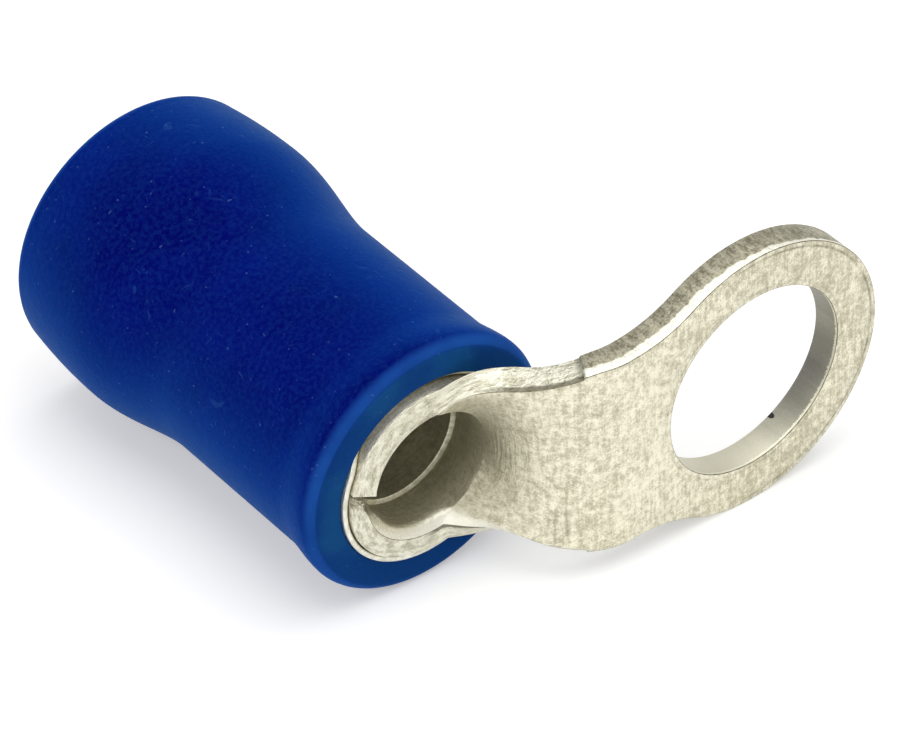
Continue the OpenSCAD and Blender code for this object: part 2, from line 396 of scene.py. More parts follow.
def punch_lines(f, sheet, across, along):
    ahead = along - HOLE_ALONG
    from_hole = (across * across + ahead * ahead).root()
    outer = line_at(from_hole, RING_R - RIM_LINE_IN, 0.03) * along.stretch(5.0, 5.7)
    inner = line_at(from_hole, HOLE_R + HOLE_LINE_OUT, 0.03) * 0.4
    patchy = f.noise(sheet, 1.6, detail=3.0, roughness=0.6).stretch(0.38, 0.58)
    return (outer + inner) * (0.2 + patchy * 0.6)


def die_lines(f, across, along, depth):
    curved = along + across * across * 0.16
    lines = f.noise(f.joined(across * 1.2, curved * 19.0, depth), 1.0, detail=3.0, roughness=0.6)
    beside = (across + 0.2).size().stretch(0.8, 1.9)
    return between(along, 0.15, 1.0, 0.2) * lines.stretch(0.42, 0.66) * (1 - beside)


def witness_lines(across, along):
    return (line_at(along - across * 0.03, 1.35, 0.02) * between(across, -2.0, -1.12, 0.08)
            + line_at(along + across * 0.03, 1.44, 0.02) * between(across, -1.85, -1.05, 0.08))


print("punch lines' radii, mm:", round(RING_R - RIM_LINE_IN, 3), round(HOLE_R + HOLE_LINE_OUT, 3))

# %% [markdown]
# ### The plated faces
# Most of the terminal is this finish. Inside the barrel, painted shade darkens it and the
# surface is rougher, and the lower wing of the mouth, turned over towards its cut edge, gets
# a painted highlight near that edge. The punch's lines and the witness lines show only on
# the inner face, the one that lines the barrel and runs on as the front of the ring, so their
# masks are multiplied by one that reads the depth.

# %% Plated face
RIM_LINE, WITNESS_LINE = (0.17, 0.155, 0.095, 1), (0.3, 0.28, 0.2, 1)
DRAWN_LINE, BORE_SHADE_TIN, LIP_HIGHLIGHT_TIN = (0.27, 0.27, 0.21, 1), (0.25, 0.235, 0.145, 1), (0.95, 0.93, 0.82, 1)


def plated_face():
    f = new_finish("plated_face")
    sheet = sheet_place(f)
    across, along, depth = f.parts(sheet)
    shade, height = mottled(f, sheet, along)
    inner_face = (depth - SHEET_T / 2).stretch(0.0, 0.1)
    rim_lines = punch_lines(f, sheet, across, along) * inner_face
    drawn = die_lines(f, across, along, depth)
    witness = witness_lines(across, along) * inner_face
    # painted shade inside the barrel, fading out up the throat
    bore = inner_face * (1 - (along + across * across * 0.12).stretch(-0.7, 1.5))
    lower_wing = (-across).stretch(1.0, 1.5) * inner_face * (1 - along.stretch(0.5, 0.9))
    # painted highlight along the turned-over lower wing, near its cut edge
    lip_highlight = lower_wing * (1 - f.attribute("to_edge", "Fac").stretch(0.06, 0.24))
    colour = f.layered(
        DULL_TIN,
        (shade, WARM_TIN),
        (rim_lines, RIM_LINE),
        (drawn * 0.16, DRAWN_LINE),
        (witness * 0.45, WITNESS_LINE),
        (bore * 0.8, BORE_SHADE_TIN),
        (lip_highlight * 0.8, LIP_HIGHLIGHT_TIN))
    gloss = 0.38 + (1 - shade) * 0.2 + bore * 0.2 - lip_highlight * 0.15
    return metal(f, colour, gloss, Normal=f.bump(height - witness * 0.6 - drawn * 0.15, 0.03 * MM))


tin_finishes = [plated_face()]

# %% [markdown]
# ### The sheared edges
# A punch cuts in two stages. It first burnishes a bright band, and then the rest tears away
# darker and rougher. That shows along the ring and the tongue. Nearer the mouth, forming
# has smeared the cut into a pale, lumpy band, with painted shadow beside the inner face.
# The tool's step parts the two, so its place along the sheet switches between them, and a
# painted shadow line marks it.

# %% Sheared edge
TORN_DARK, TORN_PALE = (0.2, 0.185, 0.125, 1), (0.5, 0.475, 0.36, 1)
SMEARED_DARK, SMEARED_PALE = (0.46, 0.435, 0.32, 1), (0.9, 0.88, 0.74, 1)
DRAG_TIN, BURNISHED_TIN = (0.5, 0.48, 0.38, 1), (0.90, 0.88, 0.76, 1)
# These two are painted shadow lines.
STEP_SHADOW_TIN, FACE_SIDE_SHADOW_TIN = (0.16, 0.15, 0.11, 1), (0.1, 0.088, 0.05, 1)


def sheared_edge():
    f = new_finish("sheared_edge")
    sheet = sheet_place(f)
    across, along, depth = f.parts(sheet)
    on_ring = along.stretch(STEP_ALONG - 0.01, STEP_ALONG + 0.01)
    wobble = f.noise(sheet.scaled((1.0, 1.0, 0.2)), 4.0, detail=3.0) * 0.2 - 0.1
    shear_end = (along - 4.0).stretch(0.0, 3.5) * SHEET_T * 0.22 + SHEET_T * 0.62
    burnished = (depth + wobble - shear_end).stretch(0.0, 0.05) * on_ring
    tear = f.noise(sheet.scaled((3.0, 9.0, 4.0)), 1.0, detail=4.0, roughness=0.7)
    fine = f.noise(sheet, 22.0, detail=3.0, roughness=0.6)
    drag = f.noise(sheet.scaled((5.0, 11.0, 0.5)), 1.0).stretch(0.35, 0.65)
    lumps = f.noise(sheet.scaled((1.0, 1.0, 1.6)), 3.6, detail=3.0, roughness=0.65).stretch(0.36, 0.56)
    rough = (tear * 0.6 + fine * 0.4).stretch(0.36, 0.62)
    torn = f.layered(TORN_DARK, (rough, TORN_PALE))
    smeared = f.layered(SMEARED_DARK, (rough * 0.5 + lumps * 0.5, SMEARED_PALE),
                        (drag * 0.2 * along.stretch(0.2, 0.5), DRAG_TIN))
    # painted shadow line at the tool's step
    step_shadow = between(along, STEP_ALONG - 0.1, STEP_ALONG + 0.03, 0.05)
    # painted shadow on the cut face beside the inner face, along one side of the throat and on the lower
    # wing
    by_face = (depth + wobble * 0.5).stretch(SHEET_T - 0.17, SHEET_T - 0.09) * (1 - on_ring)
    face_side_shadow = by_face * (across.stretch(0.5, 1.0) * between(along, 0.45, 3.0, 0.25)
                           + between(-across, 1.5, 2.7, 0.3))
    colour = f.layered(smeared, (on_ring, torn), (burnished * 0.92, BURNISHED_TIN),
                       (step_shadow * 0.6, STEP_SHADOW_TIN), (face_side_shadow * 0.8, FACE_SIDE_SHADOW_TIN))
    height = tear + fine * 0.5 + lumps * (1 - on_ring) * 0.7
    return metal(f, colour, 0.5 - burnished * 0.1, Normal=f.bump(height, 0.03 * MM))


tin_finishes.append(sheared_edge())

# %% [markdown]
# ### Corners and risers
# Two small finishes come next. The rounded corner between a plated face and its cut edge
# carries a painted shadow line, lighter at the mouth away from the lower wing. The risers
# of the gripping steps inside the barrel carry a painted highlight. Neither is wide enough
# to show a pattern, so one noise for each is enough.

# %% Corner and riser
# The corner colours are a painted shadow line, and the riser colours a painted highlight.
CORNER_SHADOW_DARK, CORNER_SHADOW_PALE = (0.05, 0.045, 0.028, 1), (0.26, 0.245, 0.17, 1)
CORNER_AT_MOUTH = (0.80, 0.78, 0.66, 1)
RISER_HIGHLIGHT_TIN, RISER_HIGHLIGHT_BRIGHT = (0.86, 0.83, 0.70, 1), (1.0, 0.98, 0.88, 1)


def corner_line():
    f = new_finish("corner_line")
    sheet = sheet_place(f)
    across, along, _ = f.parts(sheet)
    uneven = f.noise(sheet, 6.0, detail=3.0).stretch(0.3, 0.6)
    # painted shadow line along the corner, lighter at the mouth away from the lower wing
    shadow_kept = along.stretch(0.05, 0.35).above((-across).stretch(1.1, 1.5))
    colour = f.layered(CORNER_SHADOW_DARK, (uneven, CORNER_SHADOW_PALE), (1 - shadow_kept, CORNER_AT_MOUTH))
    return metal(f, colour, 0.5, Normal=f.bump(uneven, 0.02 * MM))


def grip_edge():
    f = new_finish("grip_edge")
    # painted highlight on the risers
    uneven = f.noise(sheet_place(f), 9.0, detail=3.0).stretch(0.3, 0.7)
    return metal(f, f.layered(RISER_HIGHLIGHT_TIN, (uneven, RISER_HIGHLIGHT_BRIGHT)), 0.13 + uneven * 0.08)


tin_finishes += [corner_line(), grip_edge()]

# %% [markdown]
# ### The stud hole's wall
# The punch wiped this wall smooth and dull. Painted light makes one side of it lighter than
# the other, and one black speck sits on it. The speck is an ellipsoid in the sheet's own
# measures, black and not metallic. The five finishes are kept in one list, and each face of
# the mesh names its finish by the place in that list.

# %% Stud hole's wall
WALL_DARK, WALL_PALE, WALL_RIM = (0.3, 0.29, 0.235, 1), (0.68, 0.655, 0.53, 1), (0.8, 0.78, 0.64, 1)
# the black of one speck on the wall
BLACK_SPECK = (0.006, 0.006, 0.006, 1)
SPECK_AT, SPECK_RADII = (-1.92, 6.715, 0.03), (0.065, 0.065, 0.11)


def punched_wall():
    f = new_finish("punched_wall")
    sheet = sheet_place(f)
    across, along, depth = f.parts(sheet)
    drag = f.noise(sheet.scaled((2.2, 2.2, 0.4)), 1.0, detail=3.0, roughness=0.6)
    fine = f.noise(sheet, 24.0)
    # painted light: one side of the wall lighter than the other
    lit_side = (-across - (along - HOLE_ALONG) * 0.6).stretch(0.6, 2.4)
    shade = (drag * 0.3 + fine * 0.2 + lit_side * 0.5).stretch(0.1, 0.8)
    near_face = (depth + fine * 0.1).stretch(SHEET_T - 0.03, SHEET_T)
    off = [(value - at) / radius for value, at, radius in zip((across, along, depth), SPECK_AT, SPECK_RADII)]
    speck = 1 - (off[0] * off[0] + off[1] * off[1] + off[2] * off[2]).stretch(0.8, 1.1)
    colour = f.layered(WALL_DARK, (shade, WALL_PALE), (near_face, WALL_RIM), (speck, BLACK_SPECK))
    return metal(f, colour, 0.55, Normal=f.bump(drag + fine * 0.4, 0.01 * MM), Metallic=1.0 - speck)


tin_finishes.append(punched_wall())
FACE, CUT, CORNER, RISER, WALL = range(len(tin_finishes))
print("tin finishes:", [m.name for m in tin_finishes])

# %% [markdown]
# ## Rolling the sheet
# The terminal starts as a flat blank. Two grids stand for it: one for the barrel and one
# for the throat, whose rows are moved onto the curve that the press gives them. The throat
# has the barrel's full roundness at its root and opens out flat as it turns through ninety
# degrees. Moving the points of a grid keeps every face a clean quad, which shades smoothly
# through the bend and carries the sheet attribute along.

# %% From the flat sheet to the bent one
FILLET_Y = REACH - math.sqrt((RING_R + RING_FILLET) ** 2 - (TONGUE_W / 2 + RING_FILLET) ** 2)
STEP_SOFT = 0.012


def ease(share):
    share = min(1.0, max(0.0, share))
    return share * share * (3 - 2 * share)


def half_width(s):
    v, y = s * BEND_LEN, FLAT_Y - (1 - s) * BEND_LEN
    shoulder = SHOULDER_R - math.sqrt(SHOULDER_R ** 2 - (SHOULDER_R - v) ** 2) if v < SHOULDER_R else 0
    near_ring = RING_FILLET - math.sqrt(RING_FILLET ** 2 - (y - FILLET_Y) ** 2) if y > FILLET_Y else 0
    step = TOOL_STEP * (1 - ease((s - STEP_SHARE) / STEP_SOFT + 0.5))
    return (NECK_W / 2 + (TONGUE_W - NECK_W) / 2 * ease((s - NECK_SHARE) / WIDEN_SHARE)
            + shoulder + near_ring - step)


def on_sheet(across, along, depth):
    """The place of a point of the sheet, from its distance across and along it, and its depth."""
    outward = SHEET_T / 2 - depth
    if along <= 0:
        turn, radius = across / MID_R, MID_R + outward
        return Vector((BARREL_PROUD + along, radius * math.cos(turn), radius * math.sin(turn)))
    if along >= BEND_LEN:
        return Vector((TONGUE_X - outward, FLAT_Y + along - BEND_LEN, across))
    s = along / BEND_LEN
    curl = (1 - s) / (1 + OPENING_RATE * s) / MID_R
    turn = across * curl
    swing = BEND_R + (1 - math.cos(turn)) / curl - outward * math.cos(turn)
    return Vector((BARREL_PROUD + swing * math.sin(s * math.pi / 2),
                   FLAT_Y - swing * math.cos(s * math.pi / 2),
                   math.sin(turn) / curl + outward * math.sin(turn)))


print("half width of neck and tongue, mm:", round(half_width(0.3), 3), round(half_width(0.95), 3))

# %% [markdown]
# ### Where the grids need lines
# A grid's lines are set only as close as the shape asks. Across, they are even under the
# throat, and close beside the seam, where the mouth's corner is cut off. Along the barrel
# there is one at the strand chamfer and three at each gripping step: the start of its slope,
# and the two ends of its short riser. Along the throat they crowd at its root. Two places
# on the sheet count as the same when they are nearer than a thousandth of a millimetre.

# %% Columns round the barrel and rows along it
ACROSS = 44
SEAM_GAP, SEAM_TURN, SEAM_CORNER = 0.05, 13.0, 0.18
STEPS, STEP_PITCH, STEP_SLOPE, STEP_EDGE = 3, 1.05, 0.5, 0.045
STRAND_CHAMFER, MOUTH_ROWS = 0.2, 0.4
ROOT_SHARE = 0.15
NEAR = 0.001


def spread(start, end, count):
    return [start + (end - start) * i / count for i in range(count + 1)]


root_turn = half_width(0) / MID_R
gap_turn = SEAM_GAP / 2 / MID_R
corner_turn = SEAM_CORNER / MID_R
seam_angle = math.radians(180 - SEAM_TURN)
left_end, right_end = seam_angle - 2 * math.pi + gap_turn, seam_angle - gap_turn
throat_columns = [2 * i / ACROSS - 1 for i in range(ACROSS + 1)]
columns = (spread(left_end, left_end + corner_turn, 3)[:-1]
           + spread(left_end + corner_turn, -root_turn, 18)[:-1]
           + [root_turn * u for u in throat_columns]
           + spread(root_turn, right_end - corner_turn, 14)[1:]
           + spread(right_end - corner_turn, right_end, 3)[1:])
barrel_rows = [-BARREL_LEN, STRAND_CHAMFER - BARREL_LEN]
for i in range(STEPS, 0, -1):
    barrel_rows += [-i * STEP_PITCH - STEP_EDGE, -i * STEP_PITCH, STEP_SLOPE - i * STEP_PITCH]
barrel_rows += spread(-MOUTH_ROWS, 0, 5)
throat_rows = sorted([(i / 12) ** 2 * ROOT_SHARE for i in range(12)] + spread(ROOT_SHARE, 1.0, 50)
                     + [STEP_SHARE - STEP_SOFT / 2, STEP_SHARE + STEP_SOFT / 2])
print("rows along barrel and throat:", len(barrel_rows), len(throat_rows), "columns:", len(columns))


# %% Barrel and throat grids
def grid(bm, rows, columns, put):
    """A grid whose points are moved to the sheet's outer face; put gives their across and along."""
    made = bmesh.ops.create_grid(bm, x_segments=len(columns) - 1, y_segments=len(rows) - 1, size=1)["verts"]
    sheet = bm.verts.layers.float_vector["sheet"]
    for v in made:
        c = round((v.co.x + 1) / 2 * (len(columns) - 1))
        r = round((v.co.y + 1) / 2 * (len(rows) - 1))
        v[sheet] = put(rows[r], columns[c]) + (0,)
        v.co = on_sheet(*v[sheet])


def put_barrel(along, turn):
    trim = max(0.0, SEAM_CORNER - (turn - left_end) * MID_R) if along > -NEAR else 0
    return turn * MID_R, along - trim


def put_throat(s, u):
    return half_width(s) * u, s * BEND_LEN


blank = bmesh.new()
blank.verts.layers.float_vector.new("sheet")
blank.verts.layers.float.new("to_edge")
grid(blank, barrel_rows, columns, put_barrel)
grid(blank, throat_rows, throat_columns, put_throat)
print("points of the two grids:", len(blank.verts))

# %% [markdown]
# ## The ring
# The ring's outline runs on from the tongue's two corners: an inward curve, the ring's own
# arc, and the second curve back. Spinning one point about each curve's centre draws it, so
# no point has to be worked out. Extruding that outline and pulling the new points in to
# the stud hole's radius fills the ring with quads that run straight from hole to edge.

# %% Ring outline
FILLET_STEPS, RING_STEPS = 14, 110
sheet = blank.verts.layers.float_vector["sheet"]
face_x = TONGUE_X - SHEET_T / 2
last_row = sorted((v for v in blank.verts if abs(v.co.y - FLAT_Y) < NEAR and abs(v.co.x - face_x) < NEAR),
                  key=lambda v: v.co.z)
row_edges = [e for e in blank.edges if e.verts[0] in last_row and e.verts[1] in last_row]
blend_turn = math.asin((TONGUE_W / 2 + RING_FILLET) / (RING_R + RING_FILLET))
fillet_sweep = math.pi / 2 - blend_turn - math.asin((FLAT_Y - FILLET_Y) / RING_FILLET)
ring_sweep = 2 * (math.pi - blend_turn)


def spin_point(point, centre_y, centre_z, sweep, steps):
    made = bmesh.ops.spin(blank, geom=[point], cent=(face_x, centre_y, centre_z), axis=(1, 0, 0),
                          angle=sweep, steps=steps)
    return made["geom_last"][0]


outline_start = len(blank.verts)
first_blend = spin_point(last_row[-1], FILLET_Y, TONGUE_W / 2 + RING_FILLET, fillet_sweep, FILLET_STEPS)
second_blend = spin_point(first_blend, REACH, 0, -ring_sweep, RING_STEPS)
last_corner = spin_point(second_blend, FILLET_Y, -TONGUE_W / 2 - RING_FILLET, fillet_sweep, FILLET_STEPS)
print("outline closes to, mm:", (last_corner.co - last_row[0].co).length)

# %% Fill the ring up to its hole
blank.verts.ensure_lookup_table()
outline = blank.verts[outline_start:]
bmesh.ops.pointmerge(blank, verts=[last_row[0], last_corner], merge_co=last_row[0].co)
outline = [v for v in outline if v.is_valid]
outline_edges = [e for e in blank.edges if not e.link_faces]
grown = bmesh.ops.extrude_edge_only(blank, edges=row_edges + outline_edges)["geom"]
hole = [v for v in grown if isinstance(v, bmesh.types.BMVert)]
for v in hole:
    spoke = Vector((v.co.y - REACH, v.co.z)).normalized() * HOLE_R
    v.co = Vector((face_x, REACH + spoke.x, spoke.y))
for v in outline + hole:
    v[sheet] = Vector((v.co.z, BEND_LEN + v.co.y - FLAT_Y, 0))
print("points round the hole:", len(hole))

# %% [markdown]
# ## Giving the sheet its thickness
# The blank's points lie on its outer face. Merging the two grids joins throat to barrel,
# and recalculating the normals makes every face look outwards. Solidify then adds the inner
# face one thickness in, and the new face's points are told their depth and put exactly
# where the bent sheet has them.

# %% Solid sheet
bmesh.ops.remove_doubles(blank, verts=blank.verts, dist=0.002)
bmesh.ops.recalc_face_normals(blank, faces=blank.faces)
rear_face = min(blank.faces, key=lambda f: f.calc_center_median().x)
if rear_face.normal.dot(rear_face.calc_center_median() * Vector((0, 1, 1))) < 0:
    bmesh.ops.reverse_faces(blank, faces=blank.faces)
outer_verts = set(blank.verts)
bmesh.ops.solidify(blank, geom=blank.faces[:], thickness=SHEET_T)
inner_verts = [v for v in blank.verts if v not in outer_verts]
for v in inner_verts:
    v[sheet] = v[sheet] + Vector((0, 0, SHEET_T))
    v.co = on_sheet(*v[sheet])
print("outer and inner points:", len(outer_verts), len(inner_verts))

# %% [markdown]
# ## Pressing the barrel's inside
# Three shallow steps inside the barrel grip the wire, each a slope that ends in a short
# riser. A chamfer at the rear leads the strands in, and beside the seam the mouth's
# inner edge is scooped out. All of them are one distance that a point of the inner face
# stands back from the plain bore, so one small function holds them.

# %% Steps, chamfer and scoop
STEP_HEIGHT = 0.09
SCOOP, SCOOP_DEPTH, SCOOP_TURN = 0.36, 0.5, math.radians(42)


def pressed(along, turn):
    """How far the barrel's inside stands back from its plain bore."""
    behind, back = -along, 0.0
    nearest = math.ceil((behind - NEAR) / STEP_PITCH)
    if 1 <= nearest <= STEPS:
        back = STEP_HEIGHT * max(0.0, 1 - (nearest * STEP_PITCH - behind) / STEP_SLOPE)
    past_seam = (turn - left_end) / SCOOP_TURN
    if past_seam < 1:
        back += SCOOP * (1 - ease(past_seam)) * max(0.0, 1 - behind / SCOOP_DEPTH)
    return back + STRAND_CHAMFER if behind > BARREL_LEN - NEAR else back


print("first step and chamfer, mm:", round(pressed(-STEP_PITCH, 0), 3), round(pressed(-BARREL_LEN, 0), 3))

# %% [markdown]
# ## Rolling the inner face over
# Forming drags the inner face over towards its cut edges, hardly at all along most of the
# mouth and in a wide round at its lower wing. The distance to the nearest cut edge is
# enough to shape it: inside one radius of the edge, the face falls back along a circle.
# The roll dies out up the throat, where the tool's grip was even.

# %% Rolled edges
ROLLED, ROLLED_LEAST = 0.24, 0.04
ROLL_FADES, FADE_LEN = 1.9, 0.7
WING_FROM, WING_SOFT, WING_ENDS, WING_FADE = 0.6, 0.8, 0.35, 0.9
corner_across = half_width(0)


def from_edge(across, along):
    """Distance of a point of the sheet from its nearest cut edge, at the mouth and in the throat."""
    across = abs(across)
    if along > SHOULDER_R:
        return half_width(min(along / BEND_LEN, 1)) - across
    if across > corner_across:
        return -along
    return math.hypot(corner_across - across, SHOULDER_R - along) - SHOULDER_R


def rolled(across, along):
    """How far the inner face rolls away towards a cut edge; most on the lower wing."""
    lower = ease((-across - WING_FROM) / WING_SOFT) * (1 - ease((along - WING_ENDS) / WING_FADE))
    radius = ROLLED_LEAST + (ROLLED - ROLLED_LEAST) * lower
    inside = radius - max(0.0, from_edge(across, along))
    roll = radius - math.sqrt(radius ** 2 - inside ** 2) if inside > 0 else 0.0
    return roll * (1 - ease((along - ROLL_FADES) / FADE_LEN))


print("roll at the lower wing and across the seam, mm:", round(rolled(-corner_across, 0), 3), rolled(3.0, 0))

# %% [markdown]
# ### Putting the inner face in its place
# Each point of the inner face is set back by whichever is more, the roll or the pressing.
# The strip was cut at a slant, so the seam's ends don't stand square through the sheet.
# Turning the inner points about the barrel's axis, less and less away from the seam, gives
# them that slant. The same loop notes each point's distance to the edge for the finish.

# %% Shape the inner face
SEAM_SLANT, SLANT_REACH = math.radians(15.0), math.radians(30)
slant = math.tan(SEAM_SLANT) * SHEET_T
to_edge = blank.verts.layers.float["to_edge"]
for v in inner_verts:
    across, along, depth = v[sheet]
    v[to_edge] = max(0.0, from_edge(across, along))
    if along > BEND_LEN - NEAR:
        continue
    back = rolled(across, along)
    if along < NEAR:
        back = max(back, pressed(along, across / MID_R))
    v.co = on_sheet(across, along, SHEET_T - back)
    near_seam = 1 - min(across / MID_R - left_end, right_end - across / MID_R) / SLANT_REACH
    if along < NEAR and near_seam > 0:
        v.co = Matrix.Rotation(slant / BARREL_IR * near_seam, 3, "X") @ v.co
print("slant of the seam's ends through the sheet, mm:", round(slant, 3))

# %% [markdown]
# ## Giving each face its finish
# Faces that join the outer and the inner points are cut edges. Those all round the stud hole
# are its wall, and the short steep faces inside the barrel are risers. All the others are
# plated faces.

# %% Materials of the faces
inner_set = set(inner_verts)


def on_riser(face):
    behind = [-v[sheet].y for v in face.verts]
    nearest = round(max(behind) / STEP_PITCH)
    return (1 <= nearest <= STEPS and min(behind) > nearest * STEP_PITCH - NEAR
            and max(behind) < nearest * STEP_PITCH + STEP_EDGE + NEAR)


def finish_of(face):
    kinds = {v in inner_set for v in face.verts}
    if len(kinds) == 2:
        at_hole = all(math.hypot(v.co.y - REACH, v.co.z) < HOLE_R + 0.01 for v in face.verts)
        return WALL if at_hole else CUT
    return RISER if kinds == {True} and on_riser(face) else FACE


for face in blank.faces:
    face.material_index = finish_of(face)
print("risers and walls:", [sum(f.material_index == kind for f in blank.faces) for kind in (RISER, WALL)])

# %% [markdown]
# ## Rounding the corners
# Stamping and plating never leave a knife edge, so the corners along every cut edge are
# bevelled: more on the inner face, where the die folded them and they have a finish of their
# own, a painted shadow line, than on the back, where a material of -1 lets the bevel take
# its neighbour's.
# Bevels that meet leave a few faces with no area. They are dissolved and their points
# merged, so the sheet stays closed.

# %% Round the corners
FACE_ROUND, BACK_ROUND = 0.085, 0.035
rims = [e for e in blank.edges if len(e.link_faces) == 2
        and len({f.material_index in (CUT, WALL) for f in e.link_faces}) == 2]
face_rims = [e for e in rims if e.verts[0] in inner_set]
back_rims = [e for e in rims if e.verts[0] not in inner_set]
for edges, material, size in ((face_rims, CORNER, FACE_ROUND), (back_rims, -1, BACK_ROUND)):
    edges = [e for e in edges if e.is_valid]
    bmesh.ops.bevel(blank, geom=edges, offset=size, offset_type="OFFSET", affect="EDGES",
                    segments=2, profile=0.5, material=material, clamp_overlap=True)
bmesh.ops.dissolve_degenerate(blank, dist=NEAR, edges=blank.edges)
bmesh.ops.remove_doubles(blank, verts=blank.verts, dist=NEAR)
print("open edges:", sum(len(e.link_faces) != 2 for e in blank.edges))
make_piece(blank, "stamped_terminal", tin_finishes, "terminal")

# %% [markdown]
# ## Sleeves are turned shapes
# Both sleeves are round all along, so each is one closed profile spun about the barrel's
# axis, as on a lathe. A profile is written as radius and distance behind the insulation's
# front face. Spinning with use_merge closes the last step onto the first.

# %% Turn a profile
ROUND_STEPS = 144


def turned(profile):
    bm = bmesh.new()
    points = [bm.verts.new((-behind, radius, 0)) for radius, behind in profile]
    edges = [bm.edges.new((points[i - 1], points[i])) for i in range(len(points))]
    bmesh.ops.spin(bm, geom=points + edges, cent=(0, 0, 0), axis=(1, 0, 0), angle=2 * math.pi,
                   steps=ROUND_STEPS, use_merge=True)
    bmesh.ops.remove_doubles(bm, verts=bm.verts, dist=0.0005)
    bmesh.ops.recalc_face_normals(bm, faces=bm.faces)
    return bm


def round_corner(centre, radius, start, end, steps):
    return [(centre[0] + radius * math.cos(math.radians(a)), centre[1] + radius * math.sin(math.radians(a)))
            for a in spread(start, end, steps)]


# %% [markdown]
# ## The support sleeve
# A thin tinned tube grips the barrel, and flares behind it so that the wire's own
# insulation fits in. Only its front lip shows, as a bright line between barrel and vinyl.
# It is plated as the terminal is, but drawn rather than stamped, so its grain is finer and
# plain noise in Object coordinates is enough.

# %% Support sleeve's profile and finish
SUPPORT_T, SUPPORT_PROUD = 0.12, 0.07
SUPPORT_IR = BARREL_OR + 0.02
SUPPORT_OR = SUPPORT_IR + SUPPORT_T
ENTRY_IR = mounts["wire_entry"]["dims"]["r_mm"]
ENTRY_OR = ENTRY_IR + SUPPORT_T
NECK_AT, FLARE_END, SLEEVE_LEN, ENTRY_INSET = 4.8, 6.4, 9.5, 0.5
LIP_ROUND = 0.04
front, rear = LIP_ROUND - SUPPORT_PROUD, SLEEVE_LEN - ENTRY_INSET - LIP_ROUND
support_profile = (round_corner((SUPPORT_IR + LIP_ROUND, front), LIP_ROUND, 180, 270, 3)
                   + round_corner((SUPPORT_OR - LIP_ROUND, front), LIP_ROUND, 270, 360, 3)
                   + [(SUPPORT_OR, NECK_AT), (ENTRY_OR, FLARE_END)]
                   + round_corner((ENTRY_OR - LIP_ROUND, rear), LIP_ROUND, 0, 90, 3)
                   + round_corner((ENTRY_IR + LIP_ROUND, rear), LIP_ROUND, 90, 180, 3)
                   + [(ENTRY_IR, FLARE_END), (SUPPORT_IR, NECK_AT)])


def plated_tube():
    f = new_finish("plated_tube")
    place = f.place()
    mottle = f.noise(place, 2600, detail=4.0, roughness=0.6)
    grain = f.noise(place, 9000)
    shade = (mottle * 0.6 + grain * 0.4).stretch(0.36, 0.64)
    colour = f.layered((0.66, 0.64, 0.54, 1), (shade, (0.88, 0.86, 0.77, 1)))
    return metal(f, colour, 0.3 + (1 - shade) * 0.2, Normal=f.bump(mottle + grain * 0.5, 0.015 * MM))


tube_finish = plated_tube()
print("support sleeve's radii, mm:", round(SUPPORT_OR, 3), round(ENTRY_OR, 3))

# %% [markdown]
# ### A lip that dips
# The lip isn't level all round: on its upper side it was pressed a little deeper into the
# vinyl, and there it nearly disappears. The front points of the finished tube are eased
# back over that part of the turn, less and less behind the lip, so no edge shows.

# %% Support sleeve
DIP, DIP_SOFT = 0.2, 0.5
DIP_FROM, DIP_TO, TURN_IN, TURN_OUT = -5, 135, 25, 20
support = turned(support_profile)
for v in support.verts:
    turn = math.degrees(math.atan2(v.co.z, v.co.y))
    upper = ease((turn - DIP_FROM) / TURN_IN) * (1 - ease((turn - DIP_TO) / TURN_OUT))
    v.co.x -= DIP * upper * ease((v.co.x + DIP_SOFT) / DIP_SOFT)
make_piece(support, "plated_support_sleeve", [tube_finish], "support_sleeve")

# %% [markdown]
# ## The insulating sleeve
# Soft vinyl is moulded with easy curves: a rounded lip, a waist over the barrel, a bulge
# where the wire's insulation goes, and a rim that draws in again at the rear. One function
# gives the outer radius at any distance behind the front, and the profile follows it out
# and comes back along the bore, which is stepped to fit the support sleeve.

# %% Insulating sleeve
LIP_R, FRONT_R, BULGE_R, RIM_R = 2.89, 2.78, 3.17, 3.04
BULGE_AT, LIP_LEN = 7.4, 1.2
FRONT_ROUND, REAR_ROUND, MOUTH_FLARE = 0.3, 0.3, 0.07
BORE_R = SUPPORT_OR + 0.01
REAR_BORE_R = ENTRY_OR + 0.05
rear_edge = SLEEVE_LEN - REAR_ROUND


def outer_r(behind):
    if behind < LIP_LEN:
        return LIP_R - (LIP_R - FRONT_R) * ease((behind - FRONT_ROUND) / (LIP_LEN - FRONT_ROUND))
    if behind < BULGE_AT:
        return FRONT_R + (BULGE_R - FRONT_R) * ease((behind - NECK_AT) / (BULGE_AT - NECK_AT))
    return BULGE_R - (BULGE_R - RIM_R) * ((behind - BULGE_AT) / (rear_edge - BULGE_AT)) ** 2


vinyl_profile = round_corner((LIP_R - FRONT_ROUND, FRONT_ROUND), FRONT_ROUND, 270, 360, 8)
for start, end, steps in ((FRONT_ROUND, LIP_LEN, 8), (LIP_LEN, NECK_AT, 6),
                          (NECK_AT, BULGE_AT, 24), (BULGE_AT, rear_edge, 12)):
    vinyl_profile += [(outer_r(behind), behind) for behind in spread(start, end, steps)[1:]]
vinyl_profile += (round_corner((RIM_R - REAR_ROUND, rear_edge), REAR_ROUND, 0, 90, 8)[1:]
                  + [(REAR_BORE_R + MOUTH_FLARE, SLEEVE_LEN), (REAR_BORE_R, SLEEVE_LEN - 2 * MOUTH_FLARE)]
                  + [(REAR_BORE_R, FLARE_END), (BORE_R, NECK_AT)]
                  + round_corner((BORE_R + LIP_ROUND, LIP_ROUND), LIP_ROUND, 180, 270, 3))
make_piece(turned(vinyl_profile), "vinyl_sleeve", [vinyl], "insulation_sleeve")

